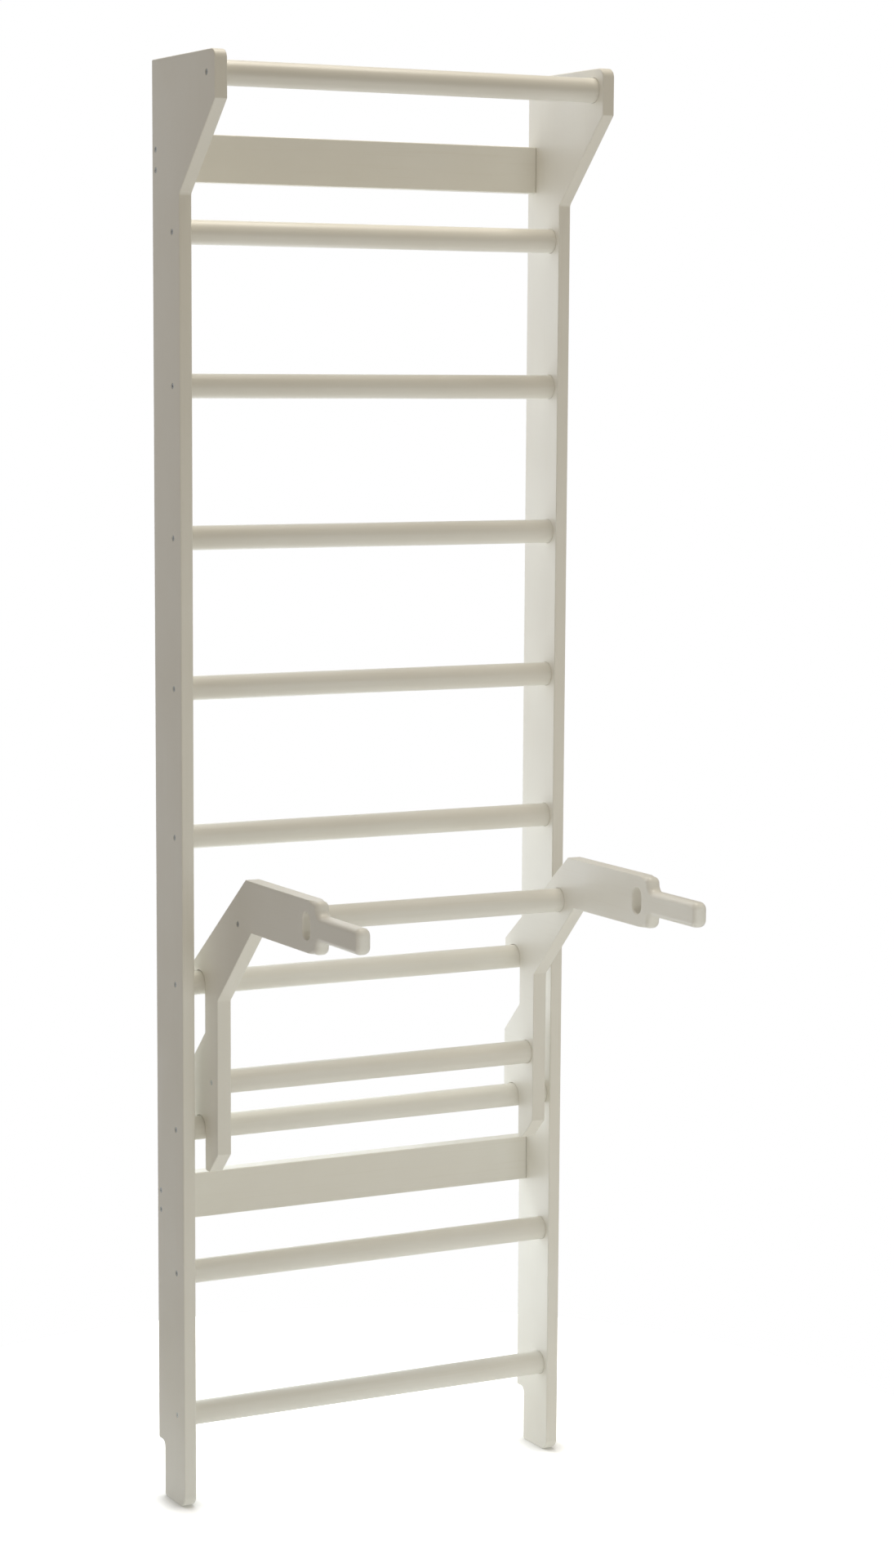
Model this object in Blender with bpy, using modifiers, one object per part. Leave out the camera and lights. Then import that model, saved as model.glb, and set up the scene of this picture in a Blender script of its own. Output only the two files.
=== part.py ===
"""Gymnastic wall bars with a hook-on dip unit, in white lacquered wood.

Metres, +Z up, front towards -Y, +X to the right of someone facing it. The
origin is on the floor, on the plane of the wall, midway between the uprights.
"""

import math

import bmesh
import bpy
from mathutils import Matrix, Vector

# ---------------------------------------------------------------- sizes
WIDTH = 0.700  # over the outer faces of the uprights
UPRIGHT_THICK = 0.021
UPRIGHT_DEPTH = 0.106
EDGE_ROUND = 0.002

RUNG_DIAMETER = 0.039
RUNG_COUNT = 9
RUNG_PITCH = 0.2384
RUNG_FIRST = 0.1505  # floor to the axis of the lowest rung
RUNG_SETBACK = 0.030  # front edge of the upright to the rung's axis
RUNG_SEAT = 0.012  # how far a rung goes into the upright

HEAD_RISE = 0.2683  # axis of the highest of the nine rungs to the very top
HEAD_DEPTH = 0.242  # wall to the front of the head
HEAD_FACE = 0.075  # height of the head's upright front face
HEAD_CORNER = 0.016
HEAD_LOWER_CORNER = 0.004
HEAD_THROAT = 0.008
TOP_BAR_SETBACK = 0.0315  # head's front face to the bar's axis
TOP_BAR_DROP = 0.034  # top of the head to the bar's axis

SKIRTING_DEPTH = 0.0245  # notch at the back of the foot
SKIRTING_HEIGHT = 0.092
SKIRTING_CORNER = 0.010
TOE_CORNER = 0.015
HEEL_CORNER = 0.005
BACK_CORNER = 0.003

RAIL_HEIGHT = 0.075
RAIL_THICK = 0.027
RAIL_ROUND = 0.002
RAIL_TOP_DROP = 0.151  # very top to the middle of the upper rail
RAIL_LOW_LEVEL = 0.502  # floor to the middle of the lower rail
RAIL_SCREW_SPACING = 0.032
RAIL_SCREW_DROP = 0.004  # middle of the pair below the middle of the rail

UPPER_HOOK_RUNG = 4  # counted from the floor
LOWER_HOOK_RUNG = 3
HOOK_SIDE_CLEARANCE = 0.0005
HOOK_LIP = 0.011  # thickness of the tongue behind the rung
HOOK_TONGUE_DROP = 0.012  # rung's axis down to the end of the tongue
UPPER_HOOK_SHOULDER = 0.0275  # rung's axis up to the top of the upright back
LOWER_HOOK_SHOULDER = 0.109

DIP_SIDE_CLEARANCE = 0.027  # between an upright and the plate beside it
DIP_OFFSET = -0.005  # the unit is hung a little left of the middle
DIP_PLATE_THICK = 0.024
DIP_BAR_SEAT = 0.012
LEG_DEPTH = 0.049
LEG_TAIL = 0.067  # axis of the lower rung to the end of the leg
LEG_TAIL_CHAMFER = 0.034
BRACE_FOOT_DROP = 0.020  # axis of the upper rung down to the brace's foot
ARM_RISE = 0.150  # axis of the upper rung up to the middle of the arm
ARM_HEIGHT = 0.082
ARM_REACH = 0.432  # rung's axis to the shoulders of the arm
PEAK_REACH = 0.177  # rung's axis to the top of the sloping back
SHOULDER_CORNER = 0.010
HANDLE_LENGTH = 0.138
HANDLE_HEIGHT = 0.040
HANDLE_CORNER = 0.009
HANDLE_ROUND = 0.006
SLOT_SETBACK = 0.036  # shoulders to the middle of the slot
SLOT_WIDTH = 0.026
SLOT_HEIGHT = 0.042
PLATE_ROUND = 0.0015
PLATE_CORNER = 0.004
DIP_BAR_HIGH_RISE = 0.117  # axis of the upper rung up to the upper bar
DIP_BAR_HIGH_REACH = 0.148
DIP_BAR_LOW_RISE = 0.082  # axis of the lower rung up to the lower bar

SCREW_HEAD_RADIUS = 0.0045
SCREW_HEAD_RIM = 0.0004
SCREW_SHANK_RADIUS = 0.0022
SCREW_LENGTH = 0.050
SCREW_TIP = 0.005
SCREW_TIP_RADIUS = 0.0006
SCREW_SINK = 0.0004  # head below the face of the wood
SCREW_HOLE_GAP = 0.0004
SCREW_SIDES = 10
RECESS_SPAN = 0.0050
RECESS_WIDTH = 0.0011
RECESS_DEPTH = 0.0018

GAP = 0.0003  # between pieces that touch
OVERCUT = 0.002  # how far a cutter runs past the face it opens
BAR_SIDES = 24

# -------------------------------------------------------- derived places
RUNG_RADIUS = RUNG_DIAMETER / 2
RUNG_Y = RUNG_SETBACK - UPRIGHT_DEPTH
TOP_RUNG_Z = RUNG_FIRST + (RUNG_COUNT - 1) * RUNG_PITCH
HEIGHT = TOP_RUNG_Z + HEAD_RISE
TOP_BAR_Y = TOP_BAR_SETBACK - HEAD_DEPTH
TOP_BAR_Z = HEIGHT - TOP_BAR_DROP
RAIL_LEVELS = {"rail_top": HEIGHT - RAIL_TOP_DROP, "rail_bottom": RAIL_LOW_LEVEL}

INNER_HALF = WIDTH / 2 - UPRIGHT_THICK
DIP_OUTER_HALF = INNER_HALF - DIP_SIDE_CLEARANCE
DIP_INNER_HALF = DIP_OUTER_HALF - DIP_PLATE_THICK

HOOK_RADIUS = RUNG_RADIUS + HOOK_SIDE_CLEARANCE
HOOK_CENTRE_DROP = HOOK_SIDE_CLEARANCE - GAP  # the hook rests on the rung's top
LEG_BACK = RUNG_Y - HOOK_RADIUS
LEG_FRONT = LEG_BACK - LEG_DEPTH
TONGUE_FRONT = RUNG_Y + HOOK_RADIUS
TONGUE_BACK = TONGUE_FRONT + HOOK_LIP


def rung_level(number):
    """Height of a rung's axis, rungs counted from the floor."""
    return RUNG_FIRST + (number - 1) * RUNG_PITCH


UPPER_Z = rung_level(UPPER_HOOK_RUNG)
LOWER_Z = rung_level(LOWER_HOOK_RUNG)
ARM_Z = UPPER_Z + ARM_RISE
DIP_BARS = {
    "dip_bar_upper": (RUNG_Y - DIP_BAR_HIGH_REACH, UPPER_Z + DIP_BAR_HIGH_RISE),
    "dip_bar_lower": (LEG_BACK - LEG_DEPTH / 2, LOWER_Z + DIP_BAR_LOW_RISE),
}

# ------------------------------------------------------------ an empty file
for old in list(bpy.data.objects):
    bpy.data.objects.remove(old, do_unlink=True)

parts = bpy.data.collections.new("wall_bars_with_dip_unit")
cutters = bpy.data.collections.new("cutters")
bpy.context.scene.collection.children.link(parts)
bpy.context.scene.collection.children.link(cutters)


# ---------------------------------------------------------------- helpers
def material(name, colour, roughness, metallic=0.0):
    """A Principled material with the finish of one kind of piece."""
    made = bpy.data.materials.new(name)
    made.use_nodes = True
    shader = made.node_tree.nodes["Principled BSDF"]
    shader.inputs["Base Color"].default_value = (*colour, 1.0)
    shader.inputs["Roughness"].default_value = roughness
    shader.inputs["Metallic"].default_value = metallic
    return made


def adopt(obj, name, surface=None):
    """Names an object and puts it in the collection of parts, or of cutters."""
    obj.name = name
    for home in list(obj.users_collection):
        home.objects.unlink(obj)
    if surface is None:
        cutters.objects.link(obj)
        obj.hide_render = True
        obj.display_type = "WIRE"
        return obj
    parts.objects.link(obj)
    obj.data.materials.clear()
    obj.data.materials.append(surface)
    return obj


def cut(obj, cutter):
    """Takes the cutter's shape out of a piece."""
    boolean = obj.modifiers.new(cutter.name, "BOOLEAN")
    boolean.operation = "DIFFERENCE"
    boolean.solver = "EXACT"
    boolean.object = cutter


def bevel(obj, width, segments, limit="ANGLE"):
    """Rounds a piece's edges."""
    rounding = obj.modifiers.new("rounding", "BEVEL")
    rounding.width = width
    rounding.segments = segments
    rounding.limit_method = limit
    rounding.angle_limit = math.radians(50)
    return rounding


def bar(name, radius, length, middle, surface=None, sides=BAR_SIDES):
    """A round bar along X."""
    bpy.ops.mesh.primitive_cylinder_add(
        vertices=sides,
        radius=radius,
        depth=length,
        location=middle,
        rotation=(0, math.pi / 2, 0),
    )
    made = adopt(bpy.context.object, name, surface)
    made.data.shade_smooth()
    made.data.set_sharp_from_angle(angle=math.radians(40))
    return made


def corner_arc(before, corner, after, radius):
    """Points that round one corner, with the radius held to its two walls."""
    here = Vector(corner)
    back = Vector(before) - here
    on = Vector(after) - here
    turn = back.angle(on)
    reach = min(radius / math.tan(turn / 2), back.length / 2, on.length / 2)
    if radius <= 0 or reach <= 0:
        return [tuple(here)]
    radius = reach * math.tan(turn / 2)
    start = here + back.normalized() * reach
    end = here + on.normalized() * reach
    inward = (back.normalized() + on.normalized()).normalized()
    centre = here + inward * math.hypot(radius, reach)
    swept = math.pi - turn
    steps = max(2, round(swept / math.radians(18 if radius > 0.008 else 32)))
    from_centre = start - centre
    side = 1 if from_centre.cross(end - centre) > 0 else -1
    points = []
    for step in range(steps + 1):
        angle = side * swept * step / steps
        spun = Matrix.Rotation(angle, 2) @ from_centre
        points.append(tuple(centre + spun))
    return points


def rounded(corners):
    """An outline from corners given as (depth, height, radius)."""
    points = []
    for index, (depth, height, radius) in enumerate(corners):
        before = corners[index - 1][:2]
        after = corners[(index + 1) % len(corners)][:2]
        for point in corner_arc(before, (depth, height), after, radius):
            if not points or math.dist(point, points[-1]) > 1e-5:
                points.append(point)
    if math.dist(points[0], points[-1]) < 1e-5:
        points.pop()
    return points


def board(name, outline, thickness, x_middle, surface=None):
    """A flat board, cut to an outline in depth and height, its face across X."""
    curve = bpy.data.curves.new(name + "_outline", "CURVE")
    curve.dimensions = "2D"
    curve.fill_mode = "BOTH"
    curve.extrude = thickness / 2
    spline = curve.splines.new("POLY")
    spline.points.add(len(outline) - 1)
    for point, (depth, height) in zip(spline.points, outline):
        point.co = (depth, height, 0, 1)
    spline.use_cyclic_u = True
    guide = bpy.data.objects.new(name + "_guide", curve)
    guide.location = (x_middle, 0, 0)
    guide.rotation_euler = (math.pi / 2, 0, math.pi / 2)
    cutters.objects.link(guide)
    bpy.context.view_layer.update()
    graph = bpy.context.evaluated_depsgraph_get()
    mesh = bpy.data.meshes.new_from_object(guide.evaluated_get(graph))
    mesh.name = name
    work = bmesh.new()
    work.from_mesh(mesh)
    bmesh.ops.remove_doubles(work, verts=work.verts, dist=1e-5)
    bmesh.ops.dissolve_limit(
        work, angle_limit=math.radians(0.5), verts=work.verts, edges=work.edges
    )
    bmesh.ops.recalc_face_normals(work, faces=work.faces)
    work.to_mesh(mesh)
    work.free()
    made = bpy.data.objects.new(name, mesh)
    made.matrix_world = guide.matrix_world
    bpy.data.objects.remove(guide)
    bpy.data.curves.remove(curve)
    return adopt(made, name, surface)


def merged(name, pieces):
    """One cutter from several that don't touch each other."""
    work = bmesh.new()
    for piece in pieces:
        copy = piece.data.copy()
        copy.transform(piece.matrix_basis)
        work.from_mesh(copy)
        bpy.data.meshes.remove(copy)
        bpy.data.objects.remove(piece)
    mesh = bpy.data.meshes.new(name)
    work.to_mesh(mesh)
    work.free()
    made = bpy.data.objects.new(name, mesh)
    bpy.context.scene.collection.objects.link(made)
    return adopt(made, name)


def turned(name, profile, sides):
    """A closed turned mesh about Z from (radius, height) points, top to bottom."""
    work = bmesh.new()
    corners = [work.verts.new((radius, 0, height)) for radius, height in profile]
    for upper, lower in zip(corners, corners[1:]):
        work.edges.new((upper, lower))
    mesh = bpy.data.meshes.new(name)
    work.to_mesh(mesh)
    work.free()
    made = bpy.data.objects.new(name, mesh)
    bpy.context.scene.collection.objects.link(made)
    screw = made.modifiers.new("turn", "SCREW")
    screw.steps = sides
    screw.render_steps = sides
    screw.use_merge_vertices = True
    screw.merge_threshold = 0.00002
    return adopt(made, name)


# -------------------------------------------------------------- materials
lacquer = material("white_lacquer", (0.76, 0.737, 0.658), 0.42)
zinc = material("bright_zinc", (0.72, 0.72, 0.70), 0.32, 1.0)

# ------------------------------------------------- one screw and its hole
cone = SCREW_HEAD_RADIUS - SCREW_SHANK_RADIUS
screw_profile = [
    (0, 0),
    (SCREW_HEAD_RADIUS, 0),
    (SCREW_HEAD_RADIUS, -SCREW_HEAD_RIM),
    (SCREW_SHANK_RADIUS, -SCREW_HEAD_RIM - cone),
    (SCREW_SHANK_RADIUS, SCREW_TIP - SCREW_LENGTH),
    (SCREW_TIP_RADIUS, -SCREW_LENGTH),
    (0, -SCREW_LENGTH),
]
screw_blank = turned("screw_blank", screw_profile, SCREW_SIDES)

cross_arms = []
for name, size in (
    ("recess_a", (RECESS_SPAN, RECESS_WIDTH)),
    ("recess_b", (RECESS_WIDTH, RECESS_SPAN)),
):
    bpy.ops.mesh.primitive_cube_add(size=1, location=(0, 0, 0))
    arm = adopt(bpy.context.object, name)
    arm.scale = (size[0], size[1], 2 * RECESS_DEPTH)
    arm.data.transform(Matrix.Diagonal((*arm.scale, 1)))
    arm.scale = (1, 1, 1)
    cross_arms.append(arm)
    cut(screw_blank, arm)
bpy.context.view_layer.update()
graph = bpy.context.evaluated_depsgraph_get()
screw_mesh = bpy.data.meshes.new_from_object(screw_blank.evaluated_get(graph))
screw_mesh.name = "countersunk_screw"
screw_mesh.materials.clear()
screw_mesh.materials.append(zinc)
screw_mesh.shade_smooth()
screw_mesh.set_sharp_from_angle(angle=math.radians(40))
for helper in [screw_blank, *cross_arms]:
    bpy.data.objects.remove(helper)

hole_profile = [
    (0, OVERCUT),
    (SCREW_HEAD_RADIUS + SCREW_HOLE_GAP, OVERCUT),
    (SCREW_HEAD_RADIUS + SCREW_HOLE_GAP, -SCREW_HEAD_RIM),
    (SCREW_SHANK_RADIUS + SCREW_HOLE_GAP, -SCREW_HEAD_RIM - cone),
    (SCREW_SHANK_RADIUS + SCREW_HOLE_GAP, -SCREW_LENGTH - GAP),
    (0, -SCREW_LENGTH - GAP),
]
hole_blank = turned("hole_blank", hole_profile, SCREW_SIDES)
bpy.context.view_layer.update()
graph = bpy.context.evaluated_depsgraph_get()
hole_mesh = bpy.data.meshes.new_from_object(hole_blank.evaluated_get(graph))
bpy.data.objects.remove(hole_blank)


def drive_screw(name, side, face_x, depth, height):
    """Puts a screw in from a board's outer face, side -1 left or +1 right, and
    returns the cutter of its hole."""
    spot = (side * (face_x - SCREW_SINK), depth, height)
    screw = bpy.data.objects.new(name, screw_mesh)
    screw.location = spot
    screw.rotation_euler = (0, side * math.pi / 2, 0)
    parts.objects.link(screw)
    hole = bpy.data.objects.new(name + "_hole", hole_mesh.copy())
    hole.location = spot
    hole.rotation_euler = (0, side * math.pi / 2, 0)
    cutters.objects.link(hole)
    return hole


# ------------------------------------------------ ladder: rungs and rails
bar_places = {"top_bar": (TOP_BAR_Y, TOP_BAR_Z)}
for number in range(1, RUNG_COUNT + 1):
    bar_places[f"rung_{number}"] = (RUNG_Y, rung_level(number))

rung_length = 2 * (INNER_HALF + RUNG_SEAT)
rungs = {}
for name, (depth, height) in bar_places.items():
    rungs[name] = bar(name, RUNG_RADIUS, rung_length, (0, depth, height), lacquer)

rails = {}
for name, height in RAIL_LEVELS.items():
    bpy.ops.mesh.primitive_cube_add(size=1, location=(0, -RAIL_THICK / 2, height))
    rail = adopt(bpy.context.object, name, lacquer)
    size = (2 * (INNER_HALF - GAP), RAIL_THICK, RAIL_HEIGHT)
    rail.data.transform(Matrix.Diagonal((*size, 1)))
    bevel(rail, RAIL_ROUND, 2)
    rails[name] = rail

# --------------------------------------------------------------- uprights
head_low = HEIGHT - HEAD_FACE
upright_outline = rounded(
    [
        (-SKIRTING_DEPTH, 0, HEEL_CORNER),
        (-SKIRTING_DEPTH, SKIRTING_HEIGHT, SKIRTING_CORNER),
        (0, SKIRTING_HEIGHT, BACK_CORNER),
        (0, HEIGHT, BACK_CORNER),
        (-HEAD_DEPTH, HEIGHT, HEAD_CORNER),
        (-HEAD_DEPTH, head_low, HEAD_LOWER_CORNER),
        (-UPRIGHT_DEPTH, head_low - (HEAD_DEPTH - UPRIGHT_DEPTH), HEAD_THROAT),
        (-UPRIGHT_DEPTH, 0, TOE_CORNER),
    ]
)
for side, hand in ((-1, "left"), (1, "right")):
    holes = []
    for name, (depth, height) in bar_places.items():
        screw_name = f"screw_{name}_{hand}"
        holes.append(drive_screw(screw_name, side, WIDTH / 2, depth, height))
    for name, height in RAIL_LEVELS.items():
        for level, sign in (("a", 1), ("b", -1)):
            offset = sign * RAIL_SCREW_SPACING / 2 - RAIL_SCREW_DROP
            screw_name = f"screw_{name}_{level}_{hand}"
            holes.append(
                drive_screw(
                    screw_name, side, WIDTH / 2, -RAIL_THICK / 2, height + offset
                )
            )
    screw_holes = merged(f"screw_holes_{hand}", holes)

    seats = []
    seat_length = RUNG_SEAT + GAP + OVERCUT
    seat_middle = side * (INNER_HALF + RUNG_SEAT + GAP - seat_length / 2)
    for name, (depth, height) in bar_places.items():
        spot = (seat_middle, depth, height)
        seats.append(bar(name + "_seat", RUNG_RADIUS + GAP, seat_length, spot))
    rung_seats = merged(f"rung_seats_{hand}", seats)

    middle = side * (WIDTH - UPRIGHT_THICK) / 2
    upright = board(f"upright_{hand}", upright_outline, UPRIGHT_THICK, middle, lacquer)
    bevel(upright, EDGE_ROUND, 2)
    cut(upright, rung_seats)
    cut(upright, screw_holes)
    for piece in [*rungs.values(), *rails.values()]:
        cut(piece, screw_holes)

# --------------------------------------------------------------- dip unit
dip_origin = bpy.data.objects.new("dip_unit_origin", None)
dip_origin.location = (DIP_OFFSET, RUNG_Y, UPPER_Z)
parts.objects.link(dip_origin)


def onto_dip_unit(obj):
    """Parents a piece to the dip unit's empty, its world place unchanged."""
    obj.parent = dip_origin
    obj.matrix_parent_inverse = Matrix.Translation(dip_origin.location).inverted()
    return obj


def hook(level, shoulder):
    """Corners of a hook over a rung, from its throat round to its back."""
    crown = level - HOOK_CENTRE_DROP + HOOK_RADIUS
    tip = level - HOOK_TONGUE_DROP
    return [
        (LEG_BACK, crown, HOOK_RADIUS),
        (TONGUE_FRONT, crown, HOOK_RADIUS),
        (TONGUE_FRONT, tip, HOOK_LIP / 4),
        (TONGUE_BACK, tip, HOOK_LIP / 2.5),
        (TONGUE_BACK, level + shoulder, PLATE_CORNER),
    ]


shoulder_y = RUNG_Y - ARM_REACH
tip_y = shoulder_y - HANDLE_LENGTH
arm_top = ARM_Z + ARM_HEIGHT / 2
arm_bottom = ARM_Z - ARM_HEIGHT / 2
handle_top = ARM_Z + HANDLE_HEIGHT / 2
handle_bottom = ARM_Z - HANDLE_HEIGHT / 2
brace_foot = UPPER_Z - BRACE_FOOT_DROP
under_y = LEG_FRONT - (arm_bottom - brace_foot)
tail = LOWER_Z - LEG_TAIL
step_top = LOWER_Z + LOWER_HOOK_SHOULDER + (TONGUE_BACK - LEG_BACK)

plate_outline = rounded(
    [
        (LEG_BACK, tail, PLATE_CORNER),
        *hook(LOWER_Z, LOWER_HOOK_SHOULDER),
        (LEG_BACK, step_top, PLATE_CORNER),
        *hook(UPPER_Z, UPPER_HOOK_SHOULDER),
        (RUNG_Y - PEAK_REACH, arm_top, PLATE_CORNER),
        (shoulder_y, arm_top, SHOULDER_CORNER),
        (shoulder_y, handle_top, SHOULDER_CORNER),
        (tip_y, handle_top, HANDLE_CORNER),
        (tip_y, handle_bottom, HANDLE_CORNER),
        (shoulder_y, handle_bottom, SHOULDER_CORNER),
        (shoulder_y, arm_bottom, SHOULDER_CORNER),
        (under_y, arm_bottom, PLATE_CORNER),
        (LEG_FRONT, brace_foot, PLATE_CORNER),
        (LEG_FRONT, tail + LEG_TAIL_CHAMFER, PLATE_CORNER),
        (LEG_FRONT + LEG_TAIL_CHAMFER, tail, PLATE_CORNER),
    ]
)

half_slot = SLOT_HEIGHT / 2
slot_y = shoulder_y + SLOT_SETBACK
slot_outline = rounded(
    [
        (slot_y - SLOT_WIDTH / 2, ARM_Z - half_slot, SLOT_WIDTH / 2),
        (slot_y - SLOT_WIDTH / 2, ARM_Z + half_slot, SLOT_WIDTH / 2),
        (slot_y + SLOT_WIDTH / 2, ARM_Z + half_slot, SLOT_WIDTH / 2),
        (slot_y + SLOT_WIDTH / 2, ARM_Z - half_slot, SLOT_WIDTH / 2),
    ]
)

dip_bar_length = 2 * (DIP_INNER_HALF + DIP_BAR_SEAT)
dip_bars = {}
for name, (depth, height) in DIP_BARS.items():
    spot = (DIP_OFFSET, depth, height)
    dip_bars[name] = onto_dip_unit(bar(name, RUNG_RADIUS, dip_bar_length, spot, lacquer))


def round_plate(plate):
    """Rounds a plate's edges, its handle and shoulders more than the rest."""
    work = bmesh.new()
    work.from_mesh(plate.data)
    weights = work.edges.layers.float.new("bevel_weight_edge")
    face_level = DIP_PLATE_THICK / 2 - 1e-5
    for edge in work.edges:
        ends = [vert.co for vert in edge.verts]
        on_face = all(abs(end.z) > face_level for end in ends)
        if not on_face or ends[0].z * ends[1].z < 0:
            continue
        grip = all(end.x < shoulder_y + SHOULDER_CORNER + 1e-5 for end in ends)
        edge[weights] = 1.0 if grip else PLATE_ROUND / HANDLE_ROUND
    work.to_mesh(plate.data)
    work.free()
    bevel(plate, HANDLE_ROUND, 2, "WEIGHT")


for side, hand in ((-1, "left"), (1, "right")):
    holes = []
    seats = []
    seat_length = DIP_BAR_SEAT + GAP + OVERCUT
    seat_middle = side * (DIP_INNER_HALF + DIP_BAR_SEAT + GAP - seat_length / 2)
    outer_x = DIP_OUTER_HALF + side * DIP_OFFSET
    for name, (depth, height) in DIP_BARS.items():
        holes.append(drive_screw(f"screw_{name}_{hand}", side, outer_x, depth, height))
        onto_dip_unit(bpy.data.objects[f"screw_{name}_{hand}"])
        spot = (seat_middle + DIP_OFFSET, depth, height)
        seats.append(bar(name + "_seat", RUNG_RADIUS + GAP, seat_length, spot))
    screw_holes = merged(f"dip_screw_holes_{hand}", holes)
    bar_seats = merged(f"dip_bar_seats_{hand}", seats)

    middle = side * (DIP_OUTER_HALF - DIP_PLATE_THICK / 2) + DIP_OFFSET
    name = f"dip_plate_{hand}"
    plate = board(name, plate_outline, DIP_PLATE_THICK, middle, lacquer)
    round_plate(plate)
    slot_thick = DIP_PLATE_THICK + 2 * OVERCUT
    slot = board(f"dip_slot_{hand}", slot_outline, slot_thick, middle)
    cut(plate, slot)
    cut(plate, bar_seats)
    cut(plate, screw_holes)
    onto_dip_unit(plate)
    for piece in dip_bars.values():
        cut(piece, screw_holes)
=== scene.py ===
"""Gymnastic wall bars in white lacquered wood, with a dip unit hooked over two of
their rungs. Metres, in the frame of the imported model: floor at Z 0, wall at Y 0.
"""

import math

import bmesh
import bpy
from mathutils import Matrix, Vector


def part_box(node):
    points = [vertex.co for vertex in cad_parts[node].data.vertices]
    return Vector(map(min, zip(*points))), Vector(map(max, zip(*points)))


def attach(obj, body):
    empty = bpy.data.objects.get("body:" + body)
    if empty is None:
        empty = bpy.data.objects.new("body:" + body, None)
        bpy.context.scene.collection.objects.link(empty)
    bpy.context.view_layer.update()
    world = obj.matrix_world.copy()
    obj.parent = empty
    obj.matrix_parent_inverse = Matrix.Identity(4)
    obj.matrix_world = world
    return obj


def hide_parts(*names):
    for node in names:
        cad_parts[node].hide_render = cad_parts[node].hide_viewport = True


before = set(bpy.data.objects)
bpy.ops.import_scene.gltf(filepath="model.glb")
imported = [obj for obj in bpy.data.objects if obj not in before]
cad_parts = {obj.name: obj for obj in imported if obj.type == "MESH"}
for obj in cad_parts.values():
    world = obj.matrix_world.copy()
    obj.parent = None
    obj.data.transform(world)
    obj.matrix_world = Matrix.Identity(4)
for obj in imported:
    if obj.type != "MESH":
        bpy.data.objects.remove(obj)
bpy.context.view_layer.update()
scene = bpy.context.scene

# ------------------------------------------------------------------ the camera
# A short telephoto lens a little above eye level and well to the left, so that
# the outer side of the left upright and the inner side of the right one show.
lens = bpy.data.cameras.new("camera")
lens.lens = 78.44
lens.shift_x = 0.0227
lens.shift_y = 0.0416
lens.clip_end = 60
camera = bpy.data.objects.new("camera", lens)
camera.location = (-2.5075, -5.0512, 1.8405)
camera.rotation_euler = [math.radians(turn) for turn in (82.073, -0.2835, -27.410)]
scene.collection.objects.link(camera)
scene.camera = camera

# ------------------------------------------------------------------ the studio
# A white floor in a white cove. Lit screens stand close behind the wall bars, a
# soft box hangs above them, and white boards at the front and sides send a little back,
# so that every edge is rimmed with light and the near faces stay in soft shade.
scene.view_settings.view_transform = "Standard"
scene.view_settings.look = "None"


def linear(colour):
    """A linear colour from an sRGB hex value."""
    channels = [int(colour[start : start + 2], 16) / 255 for start in (1, 3, 5)]
    return (
        *[c / 12.92 if c < 0.04045 else ((c + 0.055) / 1.055) ** 2.4 for c in channels],
        1.0,
    )


def add(tree, kind, sockets=None, **options):
    """Adds a node with its options, and a value or another node's output for each
    of its sockets."""
    made = tree.nodes.new("ShaderNode" + kind)
    for option, value in options.items():
        setattr(made, option, value)
    for socket, value in (sockets or {}).items():
        if isinstance(value, bpy.types.NodeSocket):
            tree.links.new(value, made.inputs[socket])
        else:
            made.inputs[socket].default_value = value
    return made


def soft_box(name, centre, facing, size, radiance, colour):
    """A rectangular soft box that glows evenly from its front and isn't seen."""
    light = bpy.data.lights.new(name, "AREA")
    light.shape = "RECTANGLE"
    light.size, light.size_y = size
    light.energy = radiance * math.pi * size[0] * size[1]  # watts
    light.color = linear(colour)[:3]
    box = bpy.data.objects.new(name, light)
    box.location = centre
    box.rotation_euler = Vector(facing).to_track_quat("-Z", "Y").to_euler()
    box.visible_camera = False
    scene.collection.objects.link(box)


# Name, centre, direction it faces, width and height, radiance, colour.
soft_box("screen_low", (0.0, 0.40, 0.55), (0, -1, 0), (0.70, 1.10), 0.98, "#F2FAFF")
soft_box("screen_high", (0.0, 0.40, 2.20), (0, -1, 0), (0.70, 2.20), 0.52, "#FAFDFF")
soft_box("screen_wide", (-0.2, 0.95, 1.65), (0, -1, 0), (1.00, 3.30), 1.18, "#F8FCFF")
soft_box("screen_right", (0.75, 0.95, 1.65), (0, -1, 0), (0.90, 3.30), 0.50, "#FFFFFF")
soft_box("box_above", (0.6, 0.2, 5.5), (0, 0, -1), (2.00, 2.40), 7.20, "#FFF8EC")
soft_box("board_at_left", (-1.6, -0.3, 2.2), (1, 0, 0), (0.80, 1.00), 0.20, "#FFE6C4")
soft_box("board_at_right", (1.5, -0.6, 1.3), (-4, 3, 0), (1.00, 2.60), 0.60, "#FFF6EA")
soft_box("board_in_front", (0.3, -2.0, 0.8), (0, 1, 0), (2.40, 1.40), 1.03, "#F4FBFF")

# What the rest of the studio reflects from its front, its left, its floor and
# its ceiling.
WALLS = (
    ((0, -1, 0), 0.20, "#FFE6B0"),
    ((-1, 0, 0), 0.32, "#FFF8F0"),
    ((0, 0, -1), 0.44, "#FFFFFF"),
    ((0, 0, 1), 0.10, "#FFFFFF"),
)
world = bpy.data.worlds.new("studio")
world.use_nodes = True
scene.world = world
tree = world.node_tree
toward = add(tree, "TexCoord").outputs["Generated"]
glow = None
for direction, radiance, colour in WALLS:
    facing = add(tree, "VectorMath", {0: toward, 1: direction}, operation="DOT_PRODUCT")
    share = add(tree, "Math", {0: facing.outputs["Value"], 1: 0.0}, operation="MAXIMUM")
    tint = [radiance * channel for channel in linear(colour)[:3]]
    wall = add(
        tree, "VectorMath", {0: tint, "Scale": share.outputs[0]}, operation="SCALE"
    )
    if glow:
        wall = add(tree, "VectorMath", {0: glow, 1: wall.outputs[0]}, operation="ADD")
    glow = wall.outputs[0]
dim_room = add(tree, "Background", {"Color": glow, "Strength": 1.0})
white_cove = add(tree, "Background", {"Color": linear("#FFFFFF"), "Strength": 1.0})
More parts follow.
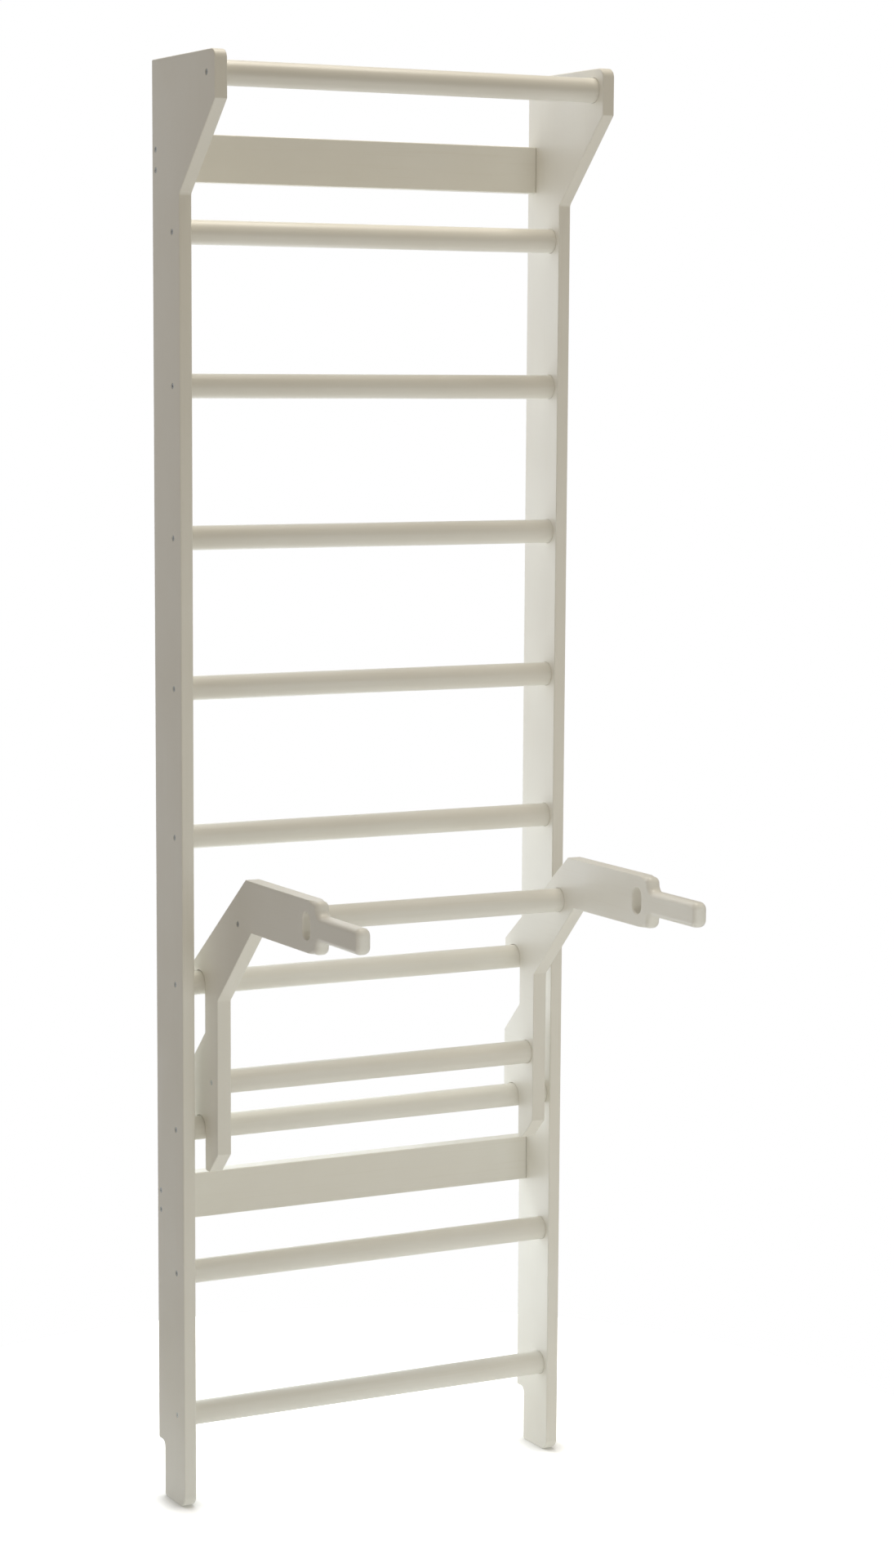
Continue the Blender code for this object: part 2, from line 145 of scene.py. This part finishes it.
seen = add(tree, "LightPath").outputs["Is Camera Ray"]
mixed = add(
    tree, "MixShader", {0: seen, 1: dim_room.outputs[0], 2: white_cove.outputs[0]}
)
tree.links.new(mixed.outputs[0], tree.nodes["World Output"].inputs["Surface"])

FLOOR_RADIUS = 1.05
FLOOR_CENTRE = (0.0, -0.10, -0.0002)  # a hair below the feet
FLOOR_NEAR = 0.45  # out to here the floor's own light is at its least
FLOOR_FAR = 0.90  # and from here on at its most
# the shade around the feet is a painted contact shadow, drawn from ambient occlusion
PAINTED_SHADOW_REACH = 0.04  # how far the shade spreads from where a foot stands
work = bmesh.new()
bmesh.ops.create_circle(work, cap_ends=True, segments=96, radius=FLOOR_RADIUS)
mesh = bpy.data.meshes.new("floor")
work.to_mesh(mesh)
work.free()
floor = bpy.data.objects.new("floor", mesh)
floor.location = FLOOR_CENTRE
scene.collection.objects.link(floor)

# Matt white studio vinyl that glows. To the camera it shows a painted glow, dimmer
# near the feet and brighter away from them, with a painted contact shadow where
# the feet touch it. To every other ray it glows evenly and dimly, and so lights
# the object from below.
vinyl = bpy.data.materials.new("studio_vinyl")
vinyl.use_nodes = True
tree = vinyl.node_tree
shader = tree.nodes["Principled BSDF"]
spot = add(tree, "TexCoord").outputs["Object"]
out = add(tree, "VectorMath", {0: spot}, operation="LENGTH")
spread = add(
    tree,
    "MapRange",
    {"Value": out.outputs["Value"], "From Min": FLOOR_NEAR, "From Max": FLOOR_FAR},
    interpolation_type="SMOOTHSTEP",
)
# painted glow seen by the camera: dimmer near the feet, brighter towards the rim
painted_glow = add(
    tree,
    "Mix",
    {0: spread.outputs["Result"], 6: linear("#E6E6E4"), 7: linear("#FAFAFA")},
    data_type="RGBA",
)
# painted contact shadow: the colour darkens towards #2E2A24 where ambient occlusion
# finds a foot close
open_air = add(tree, "AmbientOcclusion", {"Distance": PAINTED_SHADOW_REACH}).outputs["AO"]
touch = add(tree, "Math", {0: open_air, 1: 2.5}, operation="POWER").outputs[0]
glow_with_painted_shadow = add(
    tree,
    "Mix",
    {0: touch, 6: linear("#2E2A24"), 7: painted_glow.outputs[2]},
    data_type="RGBA",
)
seen = add(tree, "LightPath").outputs["Is Camera Ray"]
# the painted glow and painted shadow reach camera rays only; other rays get an even dim
# glow that lights the object from below
lit = add(
    tree,
    "Mix",
    {0: seen, 6: linear("#909291"), 7: glow_with_painted_shadow.outputs[2]},
    data_type="RGBA",
)
tree.links.new(lit.outputs[2], shader.inputs["Emission Color"])
shader.inputs["Base Color"].default_value = linear("#D8D8D6")
shader.inputs["Roughness"].default_value = 0.8
shader.inputs["Emission Strength"].default_value = 1.0
floor.data.materials.append(vinyl)

# ---------------------------------------------------------------- the uprights
# Two boards of solid beech, 21 mm thick, sawn to a pattern with a cranked head
# and a notch over the skirting board. Their edges are rounded with a router, they
# are bored blind for the rungs, and sprayed with white satin lacquer.
UPRIGHT_DEPTH = 0.106
UPRIGHT_EDGE = 0.002
HEAD_FACE = 0.075
HEAD_CORNER = 0.016
HEAD_LOWER_CORNER = 0.004
HEAD_THROAT = 0.008
SKIRTING_DEPTH = 0.0245
SKIRTING_HEIGHT = 0.092
SKIRTING_CORNER = 0.010
TOE_CORNER = 0.020
HEEL_CORNER = 0.005
BACK_CORNER = 0.003
SEAT_DEPTH = 0.012
SEAT_GAP = 0.0003
SEAT_CHAMFER = 0.0005
SEAT_MOUTH = 0.0001
SCREW_HOLE = 0.0026
SCREW_HEAD = 0.0049
SCREW_CONE = 0.0023
SCREW_SUNK = 0.0004
OVERCUT = 0.003
ARC_STEP = math.radians(7)
SAME_POINT = 1e-5
EDGE_STEPS = 5
ROUND_SIDES = 72
HOLE_SIDES = 32


def arc(before, corner, after, radius):
    """Points that round one corner of an outline, one every ARC_STEP or so."""
    here = Vector(corner)
    back = Vector(before) - here
    on = Vector(after) - here
    turn = back.angle(on)
    reach = min(radius / math.tan(turn / 2), back.length / 2, on.length / 2)
    if reach <= 0:
        return [here]
    start = here + back.normalized() * reach
    inward = (back.normalized() + on.normalized()).normalized()
    centre = here + inward * reach / math.cos(turn / 2)
    spoke = start - centre
    side = 1 if spoke.cross(here + on.normalized() * reach - centre) > 0 else -1
    swept = math.pi - turn
    steps = max(3, round(swept / ARC_STEP))
    return [
        centre + Matrix.Rotation(side * swept * step / steps, 2) @ spoke
        for step in range(steps + 1)
    ]


def outline_of(corners):
    """An outline in depth and height from (depth, height, radius) corners."""
    points = []
    for index, (depth, height, radius) in enumerate(corners):
        before = corners[index - 1][:2]
        after = corners[(index + 1) % len(corners)][:2]
        for point in arc(before, (depth, height), after, radius):
            if not points or (point - points[-1]).length > SAME_POINT:
                points.append(point)
    if (points[0] - points[-1]).length < SAME_POINT:
        points.pop()
    return points


def inward_normals(outline):
    """For each point of an outline, the way in, as long as a mitre needs."""
    area = sum(a.cross(b) for a, b in zip(outline, outline[1:] + outline[:1]))
    hand = 1 if area > 0 else -1
    ways = []
    for index, point in enumerate(outline):
        into = (point - outline[index - 1]).normalized()
        away = (outline[(index + 1) % len(outline)] - point).normalized()
        along = (into + away).normalized()
        way = Vector((-along.y, along.x)) * hand
        ways.append(way / max(0.5, along.dot(into)))
    return ways


def close_rings(work, rings):
    """Adds the faces between each ring of points and the next, and at both ends."""
    count = len(rings[0])
    for one, two in zip(rings, rings[1:]):
        for index in range(count):
            follow = (index + 1) % count
            work.faces.new((one[index], one[follow], two[follow], two[index]))
    work.faces.new(reversed(rings[0]))
    work.faces.new(rings[-1])


def add_board(work, outline, low, high, edges):
    """Adds a board to a mesh being built. Its outline lies in depth and height,
    it runs from low to high in X, and edges holds the rounding of its arrises at
    each point of the outline."""
    ways = inward_normals(outline)
    rings = []
    for face, step_in in ((low, 1), (high, -1)):
        levels = range(EDGE_STEPS + 1)
        if step_in < 0:
            levels = reversed(levels)
        for level in levels:
            tilt = math.pi / 2 * level / EDGE_STEPS
            ring = []
            for point, way, edge in zip(outline, ways, edges):
                inset = point + way * edge * (1 - math.sin(tilt))
                x = face + step_in * edge * (1 - math.cos(tilt))
                ring.append(work.verts.new((x, inset.x, inset.y)))
            rings.append(ring)
    close_rings(work, rings)


def add_turned(work, profile, depth, height, sides=ROUND_SIDES):
    """Adds a turned shape about an axis along X, from (x, radius) pairs."""
    rings = []
    for x, radius in profile:
        ring = []
        for side in range(sides):
            angle = 2 * math.pi * side / sides
            spot = (depth + radius * math.cos(angle), height + radius * math.sin(angle))
            ring.append(work.verts.new((x, *spot)))
        rings.append(ring)
    close_rings(work, rings)


def mesh_of(name, work):
    """A mesh with its faces turned outwards, from the mesh being built."""
    bmesh.ops.recalc_face_normals(work, faces=work.faces)
    made = bpy.data.meshes.new(name)
    work.to_mesh(made)
    work.free()
    return made


def carved(name, solid, cutter):
    """The mesh of one shape with another taken out of it."""
    objects = []
    for suffix, work in (("solid", solid), ("cutter", cutter)):
        made = bpy.data.objects.new(f"{name}_{suffix}", mesh_of(name, work))
        scene.collection.objects.link(made)
        objects.append(made)
    boolean = objects[0].modifiers.new("carve", "BOOLEAN")
    boolean.solver = "EXACT"
    boolean.object = objects[1]
    graph = bpy.context.evaluated_depsgraph_get()
    mesh = bpy.data.meshes.new_from_object(objects[0].evaluated_get(graph))
    for made in objects:
        bpy.data.objects.remove(made)
    return mesh


def piece(name, mesh, body, surface, crease=35):
    """Shows a mesh in place of the CAD node of the same name."""
    mesh.name = name
    mesh.materials.clear()
    mesh.materials.append(surface)
    mesh.shade_smooth()
    mesh.set_sharp_from_angle(angle=math.radians(crease))
    made = bpy.data.objects.new(name + "_finished", mesh)
    scene.collection.objects.link(made)
    weighted = made.modifiers.new("flat_faces", "WEIGHTED_NORMAL")
    weighted.keep_sharp = True
    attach(made, body)
    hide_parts(name)
    return made


def middle_of(node):
    """The middle of a CAD node's box."""
    low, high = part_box(node)
    return (low + high) / 2


def through_hole(inner_x, outer_x, side):
    """Profile of a screw's clearance hole with its countersink, from inside a
    board to its outer face."""
    return [
        (inner_x, SCREW_HOLE),
        (outer_x - side * (SCREW_CONE + SCREW_SUNK), SCREW_HOLE),
        (outer_x - side * SCREW_SUNK, SCREW_HEAD),
        (outer_x + side * OVERCUT, SCREW_HEAD),
    ]


def seat_and_hole(inner_x, outer_x, side, radius, depth):
    """Profile of a round bar's blind seat and, behind it, its screw's hole."""
    floor_x = inner_x + side * (depth + SEAT_GAP)
    return [
        (inner_x - side * OVERCUT, radius + SEAT_GAP + SEAT_CHAMFER),
        (inner_x + side * SEAT_MOUTH, radius + SEAT_GAP + SEAT_CHAMFER),
        (inner_x + side * SEAT_CHAMFER, radius + SEAT_GAP),
        (floor_x, radius + SEAT_GAP),
        *through_hole(floor_x, outer_x, side),
    ]


# Satin acrylic lacquer over white primer: opaque, a warm off-white, with a soft
# sheen. Close to, it shows a fine orange peel from the spray gun and, very
# faintly, the wood fibres that lifted under the primer.
PAINT = "#EAE8E0"
PAINT_THIN = "#E6E3D9"
PAINT_LINE = "#E2DED2"
PEEL_SIZE = 0.003  # 1 mm in truth, coarser here so that it shows
FIBRE_WIDTH = 0.0035  # 0.5 mm in truth, coarser here so that it shows
FIBRE_LENGTH = 0.180
CLOUD_SIZE = 0.220


def lacquer(name, along, seed, roughness=0.40, peel=0.000015, fibre=0.000020):
    """Satin lacquer on wood whose grain runs along X, Y or Z."""
    made = bpy.data.materials.new(name)
    made.use_nodes = True
    tree = made.node_tree
    shader = tree.nodes["Principled BSDF"]
    place = add(tree, "TexCoord").outputs["Object"]
    moved = add(tree, "Mapping", {"Vector": place, "Location": (seed, 2 * seed, -seed)})
    stretch = [1 / FIBRE_WIDTH] * 3
    stretch["XYZ".index(along)] = 1 / FIBRE_LENGTH
    lengthways = add(
        tree, "Mapping", {"Vector": moved.outputs["Vector"], "Scale": stretch}
    )
    fibres = add(
        tree,
        "TexNoise",
        {"Vector": lengthways.outputs["Vector"], "Scale": 1.0, "Detail": 4.0},
    )
    dimples = add(
        tree,
        "TexNoise",
        {"Vector": moved.outputs["Vector"], "Scale": 1 / PEEL_SIZE, "Detail": 1.5},
    )
    clouds = add(
        tree,
        "TexNoise",
        {"Vector": moved.outputs["Vector"], "Scale": 1 / CLOUD_SIZE, "Detail": 3.0},
    )
    thin = add(
        tree,
        "MapRange",
        {"Value": clouds.outputs["Fac"], "From Min": 0.35, "From Max": 0.75},
    )
    film = add(
        tree,
        "Mix",
        {0: thin.outputs["Result"], 6: linear(PAINT), 7: linear(PAINT_THIN)},
        data_type="RGBA",
    )
    line = add(
        tree,
        "MapRange",
        {
            "Value": fibres.outputs["Fac"],
            "From Min": 0.55,
            "From Max": 0.80,
            "To Max": 0.35,
        },
    )
    colour = add(
        tree,
        "Mix",
        {0: line.outputs["Result"], 6: film.outputs[2], 7: linear(PAINT_LINE)},
        data_type="RGBA",
    )
    gloss = add(
        tree,
        "MapRange",
        {
            "Value": clouds.outputs["Fac"],
            "From Min": 0.3,
            "From Max": 0.7,
            "To Min": roughness - 0.05,
            "To Max": roughness + 0.06,
        },
    )
    grain = add(
        tree,
        "Bump",
        {"Height": fibres.outputs["Fac"], "Strength": 1.0, "Distance": fibre},
    )
    skin = add(
        tree,
        "Bump",
        {
            "Height": dimples.outputs["Fac"],
            "Strength": 1.0,
            "Distance": peel,
            "Normal": grain.outputs["Normal"],
        },
    )
    tree.links.new(colour.outputs[2], shader.inputs["Base Color"])
    tree.links.new(gloss.outputs["Result"], shader.inputs["Roughness"])
    tree.links.new(skin.outputs["Normal"], shader.inputs["Normal"])
    shader.inputs["IOR"].default_value = 1.48
    return made


upright_lacquer = lacquer("lacquered_beech_board", "Z", 0.0)

bar_names = ["top_bar"] + [f"rung_{number}" for number in range(1, 10)]
rail_names = ["rail_top", "rail_bottom"]
bar_low, bar_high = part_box("rung_1")
bar_radius = (bar_high.z - bar_low.z) / 2

for hand, side in (("left", -1), ("right", 1)):
    name = f"upright_{hand}"
    low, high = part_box(name)
    inner_x, outer_x = (high.x, low.x) if side < 0 else (low.x, high.x)
    head_low = high.z - HEAD_FACE
    crank = (high.y - UPRIGHT_DEPTH) - low.y
    outline = outline_of(
        [
            (-SKIRTING_DEPTH, low.z, HEEL_CORNER),
            (-SKIRTING_DEPTH, low.z + SKIRTING_HEIGHT, SKIRTING_CORNER),
            (high.y, low.z + SKIRTING_HEIGHT, BACK_CORNER),
            (high.y, high.z, BACK_CORNER),
            (low.y, high.z, HEAD_CORNER),
            (low.y, head_low, HEAD_LOWER_CORNER),
            (-UPRIGHT_DEPTH, head_low - crank, HEAD_THROAT),
            (-UPRIGHT_DEPTH, low.z, TOE_CORNER),
        ]
    )
    solid = bmesh.new()
    add_board(solid, outline, low.x, high.x, [UPRIGHT_EDGE] * len(outline))
    cutter = bmesh.new()
    for bar in bar_names:
        spot = middle_of(bar)
        profile = seat_and_hole(inner_x, outer_x, side, bar_radius, SEAT_DEPTH)
        add_turned(cutter, profile, spot.y, spot.z)
    for rail in rail_names:
        for level in "ab":
            spot = middle_of(f"screw_{rail}_{level}_{hand}")
            profile = through_hole(inner_x - side * OVERCUT, outer_x, side)
            add_turned(cutter, profile, spot.y, spot.z, HOLE_SIDES)
    board = carved(name, solid, cutter)
    piece(name, board, "frame", upright_lacquer)

# ------------------------------------------------------- top bar and nine rungs
# Round bars of turned beech, 39 mm across, sanded and lacquered before they go
# into their seats. One screw through each upright holds each end.
BAR_CHAMFER = 0.0010
BAR_BORE = 0.0293


def bar_mesh(name):
    """A round bar with chamfered ends, bored at both for its screws."""
    low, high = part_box(name)
    spot = (low + high) / 2
    radius = (high.z - low.z) / 2
    half = [
        (BAR_BORE, SCREW_HOLE),
        (0.0, SCREW_HOLE),
        (0.0, radius - BAR_CHAMFER),
        (BAR_CHAMFER, radius),
    ]
    profile = [(low.x + x, reach) for x, reach in half]
    profile += [(high.x - x, reach) for x, reach in reversed(half)]
    work = bmesh.new()
    add_turned(work, profile, spot.y, spot.z)
    return mesh_of(name, work)


rung_lacquer = lacquer("lacquered_beech_dowel", "X", 3.7, roughness=0.36)

for name in bar_names:
    piece(name, bar_mesh(name), "frame", rung_lacquer)

# --------------------------------------------------------------- the two rails
# Flat beech boards, 75 by 27 mm, let in between the uprights flush with their
# backs. They take the screws into the wall, and two screws hold each end.
RAIL_EDGE = 0.002
RAIL_END_EDGE = 0.0012
RAIL_BORE = 0.0290
RAIL_BORE_SIDES = 24

rail_lacquer = lacquer("lacquered_beech_rail", "X", 7.9)

for name in rail_names:
    low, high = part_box(name)
    outline = outline_of(
        [
            (low.y, low.z, RAIL_EDGE),
            (low.y, high.z, RAIL_EDGE),
            (high.y, high.z, RAIL_EDGE),
            (high.y, low.z, RAIL_EDGE),
        ]
    )
    solid = bmesh.new()
    add_board(solid, outline, low.x, high.x, [RAIL_END_EDGE] * len(outline))
    cutter = bmesh.new()
    for hand, end_x, side in (("left", low.x, -1), ("right", high.x, 1)):
        for level in "ab":
            spot = middle_of(f"screw_{name}_{level}_{hand}")
            bore = [
                (end_x - side * RAIL_BORE, SCREW_HOLE),
                (end_x + side * OVERCUT, SCREW_HOLE),
            ]
            add_turned(cutter, bore, spot.y, spot.z, RAIL_BORE_SIDES)
    piece(name, carved(name, solid, cutter), "frame", rail_lacquer)

# ------------------------------------------------------------------ the screws
# Countersunk chipboard screws, 50 mm long with a 9 mm head and a cross recess,
# of cold-headed steel with a bright zinc coat. The heads are sunk 0.4 mm.
HEAD_RADIUS = 0.0045
HEAD_RIM = 0.0004
HEAD_BREAK = 0.0002
NECK_ABOVE = 0.0003
NECK_BELOW = 0.0005
NECK_SWELL = 0.0001
SHANK_RADIUS = 0.0022
SCREW_LENGTH = 0.050
POINT_START = 0.045
POINT_RADIUS = 0.0006
SCREW_SIDES = 40
RECESS_SPAN = 0.0050
RECESS_WIDTH = 0.0011
RECESS_DEPTH = 0.0020
RECESS_TAPER = 0.45
RECESS_PROUD = 0.0005
RECESS_FLARE = 1.1


def add_wing(work, span, width):
    """Adds one tapered wing of the cross recess, its mouth above the head."""
    corners = []
    for x, share in ((RECESS_PROUD, RECESS_FLARE), (-RECESS_DEPTH, RECESS_TAPER)):
        for across, up in ((-1, -1), (1, -1), (1, 1), (-1, 1)):
            spot = (x, across * span * share / 2, up * width / 2)
            corners.append(work.verts.new(spot))
    top, bottom = corners[:4], corners[4:]
    work.faces.new(top)
    work.faces.new(reversed(bottom))
    for index in range(4):
        follow = (index + 1) % 4
        work.faces.new((top[index], bottom[index], bottom[follow], top[follow]))


def screw_mesh():
    """The screw, its head at X 0 facing +X."""
    neck = HEAD_RIM + HEAD_RADIUS - SHANK_RADIUS
    profile = [
        (0.0, HEAD_RADIUS - HEAD_BREAK),
        (-0.6 * HEAD_BREAK, HEAD_RADIUS - HEAD_BREAK / 4),
        (-HEAD_RIM, HEAD_RADIUS),
        (-neck + NECK_ABOVE, SHANK_RADIUS + NECK_SWELL),
        (-neck - NECK_BELOW, SHANK_RADIUS),
        (-POINT_START, SHANK_RADIUS),
        (-SCREW_LENGTH, POINT_RADIUS),
    ]
    mesh = None
    for turn in (0, math.pi / 2):
        solid = bmesh.new()
        if mesh is None:
            add_turned(solid, profile, 0, 0, SCREW_SIDES)
        else:
            solid.from_mesh(mesh)
        wing = bmesh.new()
        add_wing(wing, RECESS_SPAN, RECESS_WIDTH)
        bmesh.ops.rotate(wing, verts=wing.verts, matrix=Matrix.Rotation(turn, 3, "X"))
        mesh = carved("screw", solid, wing)
    return mesh


# Bright zinc plate on steel: metallic grey with a cool cast, fine turning marks
# on the head, and a slightly uneven gloss.
zinc = bpy.data.materials.new("bright_zinc_plate")
zinc.use_nodes = True
tree = zinc.node_tree
ZINC_MOTTLE = 0.0015
shader = tree.nodes["Principled BSDF"]
place = add(tree, "TexCoord").outputs["Object"]
mottle = add(
    tree, "TexNoise", {"Vector": place, "Scale": 1 / ZINC_MOTTLE, "Detail": 3.0}
)
cast = add(
    tree,
    "Mix",
    {0: mottle.outputs["Fac"], 6: linear("#D4D6D3"), 7: linear("#BFC3C6")},
    data_type="RGBA",
)
gloss = add(
    tree,
    "MapRange",
    {"Value": mottle.outputs["Fac"], "To Min": 0.22, "To Max": 0.38},
)
RING_SPACING = 0.0003
rings = add(
    tree,
    "TexWave",
    {"Vector": place, "Scale": math.pi / 10 / RING_SPACING, "Distortion": 0.4},
    wave_type="RINGS",
    rings_direction="X",
)
marks = add(tree, "Bump", {"Height": rings.outputs["Fac"], "Distance": 0.000004})
tree.links.new(cast.outputs[2], shader.inputs["Base Color"])
tree.links.new(gloss.outputs["Result"], shader.inputs["Roughness"])
tree.links.new(marks.outputs["Normal"], shader.inputs["Normal"])
shader.inputs["Metallic"].default_value = 1.0

screw = screw_mesh()
SCREW_TURN = 37  # degrees from one screw's recess to the next


def drive_screws(names, body):
    """Puts a screw where each CAD screw is, each turned to a different angle."""
    for count, name in enumerate(names):
        low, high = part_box(name)
        spot = (low + high) / 2
        side = -1 if spot.x < 0 else 1
        made = piece(name, screw, body, zinc, 40)
        made.location = (low.x if side < 0 else high.x, spot.y, spot.z)
        facing = Matrix.Rotation(0 if side > 0 else math.pi, 3, "Z")
        turn = Matrix.Rotation(math.radians(SCREW_TURN * count), 3, "X")
        made.rotation_euler = (facing @ turn).to_euler()


drive_screws(
    [f"screw_{bar}_{hand}" for bar in bar_names for hand in ("left", "right")]
    + [
        f"screw_{rail}_{level}_{hand}"
        for rail in rail_names
        for level in "ab"
        for hand in ("left", "right")
    ],
    "frame",
)

# -------------------------------------------------------------- the dip plates
# Two boards of birch plywood, 24 mm thick, cut to one pattern: a leg with two
# hooks at its back, a brace and an arm that narrows to a handle. The handle and
# its shoulders have a large roundover, and a slot with soft rims goes through.
HOOK_CLEARANCE = 0.0005
HOOK_LIP = 0.011
TONGUE_DROP = 0.012
UPPER_SHOULDER = 0.0275
LOWER_SHOULDER = 0.109
LEG_DEPTH = 0.049
TAIL_CHAMFER = 0.034
BRACE_FOOT_DROP = 0.020
ARM_HEIGHT = 0.082
ARM_REACH = 0.432
PEAK_REACH = 0.177
SHOULDER_CORNER = 0.011
HANDLE_HEIGHT = 0.040
HANDLE_CORNER = 0.012
HANDLE_EDGE = 0.009
PLATE_EDGE = 0.0015
PLATE_CORNER = 0.004
RUN_OUT = 0.020  # length over which the big roundover fades into the small one
RUN_OUT_STEP = 0.002
SLOT_SETBACK = 0.036
SLOT_WIDTH = 0.026
SLOT_HEIGHT = 0.042
SLOT_RIM = 0.0025
SLOT_RIM_STEPS = 6
SLOT_SIDES = 64

upper, lower = middle_of("rung_4"), middle_of("rung_3")
hook_radius = bar_radius + HOOK_CLEARANCE
leg_back = upper.y - hook_radius
leg_front = leg_back - LEG_DEPTH
tongue_front = upper.y + hook_radius
tongue_back = tongue_front + HOOK_LIP


def hook(level, shoulder):
    """Corners of a hook over a rung, from its throat round to its back."""
    crown = level - HOOK_CLEARANCE + SEAT_GAP + hook_radius
    tip = level - TONGUE_DROP
    return [
        (leg_back, crown, hook_radius),
        (tongue_front, crown, hook_radius),
        (tongue_front, tip, HOOK_LIP / 4),
        (tongue_back, tip, HOOK_LIP / 2.5),
        (tongue_back, level + shoulder, PLATE_CORNER),
    ]


def with_stations(outline, start, end, spacing):
    """The outline with extra points on its long straight runs between two depths,
    where the roundover changes."""
    points = []
    for point, after in zip(outline, outline[1:] + outline[:1]):
        points.append(point)
        run = after - point
        if run.length < 2 * spacing:
            continue
        count = int(run.length / spacing)
        for step in range(1, count):
            station = point + run * step / count
            if start < station.x < end:
                points.append(station)
    return points


def add_slot(work, low, high, depth, height):
    """Adds the shape of an upright slot with flared rims, from low to high in X."""
    half_run = (SLOT_HEIGHT - SLOT_WIDTH) / 2
    flare = []
    for step in range(SLOT_RIM_STEPS + 1):
        tilt = math.pi / 2 * step / SLOT_RIM_STEPS
        flare.append((SLOT_RIM * (1 - math.cos(tilt)), SLOT_RIM * (1 - math.sin(tilt))))
    flare[0] = (-OVERCUT, flare[0][1])
    stations = [(low + inward, out) for inward, out in flare]
    stations += [(high - inward, out) for inward, out in reversed(flare)]
    rings = []
    for x, out in stations:
        ring = []
        for index in range(SLOT_SIDES):
            angle = 2 * math.pi * (index + 0.5) / SLOT_SIDES
            reach = SLOT_WIDTH / 2 + out
            lift = half_run if math.sin(angle) > 0 else -half_run
            y = depth + reach * math.cos(angle)
            z = height + lift + reach * math.sin(angle)
            ring.append(work.verts.new((x, y, z)))
        rings.append(ring)
    close_rings(work, rings)


plywood_lacquer = lacquer("lacquered_birch_plywood", "Y", 12.4)

for hand, side in (("left", -1), ("right", 1)):
    name = f"dip_plate_{hand}"
    low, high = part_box(name)
    arm_top, tail, tip_y = high.z, low.z, low.y
    arm_middle = arm_top - ARM_HEIGHT / 2
    arm_bottom = arm_top - ARM_HEIGHT
    shoulder_y = upper.y - ARM_REACH
    brace_foot = upper.z - BRACE_FOOT_DROP
    grip_top = arm_middle + HANDLE_HEIGHT / 2
    grip_bottom = arm_middle - HANDLE_HEIGHT / 2
    outline = outline_of(
        [
            (leg_back, tail, PLATE_CORNER),
            *hook(lower.z, LOWER_SHOULDER),
            (leg_back, lower.z + LOWER_SHOULDER + tongue_back - leg_back, PLATE_CORNER),
            *hook(upper.z, UPPER_SHOULDER),
            (upper.y - PEAK_REACH, arm_top, PLATE_CORNER),
            (shoulder_y, arm_top, SHOULDER_CORNER),
            (shoulder_y, grip_top, SHOULDER_CORNER),
            (tip_y, grip_top, HANDLE_CORNER),
            (tip_y, grip_bottom, HANDLE_CORNER),
            (shoulder_y, grip_bottom, SHOULDER_CORNER),
            (shoulder_y, arm_bottom, SHOULDER_CORNER),
            (leg_front - (arm_bottom - brace_foot), arm_bottom, PLATE_CORNER),
            (leg_front, brace_foot, PLATE_CORNER),
            (leg_front, tail + TAIL_CHAMFER, PLATE_CORNER),
            (leg_front + TAIL_CHAMFER, tail, PLATE_CORNER),
        ]
    )
    fade_start = shoulder_y + SHOULDER_CORNER
    outline = with_stations(outline, fade_start, fade_start + RUN_OUT, RUN_OUT_STEP)
    edges = []
    for point in outline:
        share = min(1.0, max(0.0, (point.x - fade_start) / RUN_OUT))
        share = share * share * (3 - 2 * share)
        edges.append(HANDLE_EDGE + (PLATE_EDGE - HANDLE_EDGE) * share)
    solid = bmesh.new()
    add_board(solid, outline, low.x, high.x, edges)
    cutter = bmesh.new()
    inner_x, outer_x = (high.x, low.x) if side < 0 else (low.x, high.x)
    for bar in ("dip_bar_upper", "dip_bar_lower"):
        spot = middle_of(bar)
        profile = seat_and_hole(inner_x, outer_x, side, bar_radius, SEAT_DEPTH)
        add_turned(cutter, profile, spot.y, spot.z)
    add_slot(cutter, low.x, high.x, shoulder_y + SLOT_SETBACK, arm_middle)
    plate = carved(name, solid, cutter)
    piece(name, plate, "dip_unit", plywood_lacquer)

# ---------------------------------------------------------------- the dip bars
# Two more of the same beech bars join the plates, one where the braces meet the
# arms and one across the legs, and a screw at each end holds them.
for name in ("dip_bar_upper", "dip_bar_lower"):
    piece(name, bar_mesh(name), "dip_unit", rung_lacquer)

drive_screws(
    [
        f"screw_{bar}_{hand}"
        for bar in ("dip_bar_upper", "dip_bar_lower")
        for hand in ("left", "right")
    ],
    "dip_unit",
)
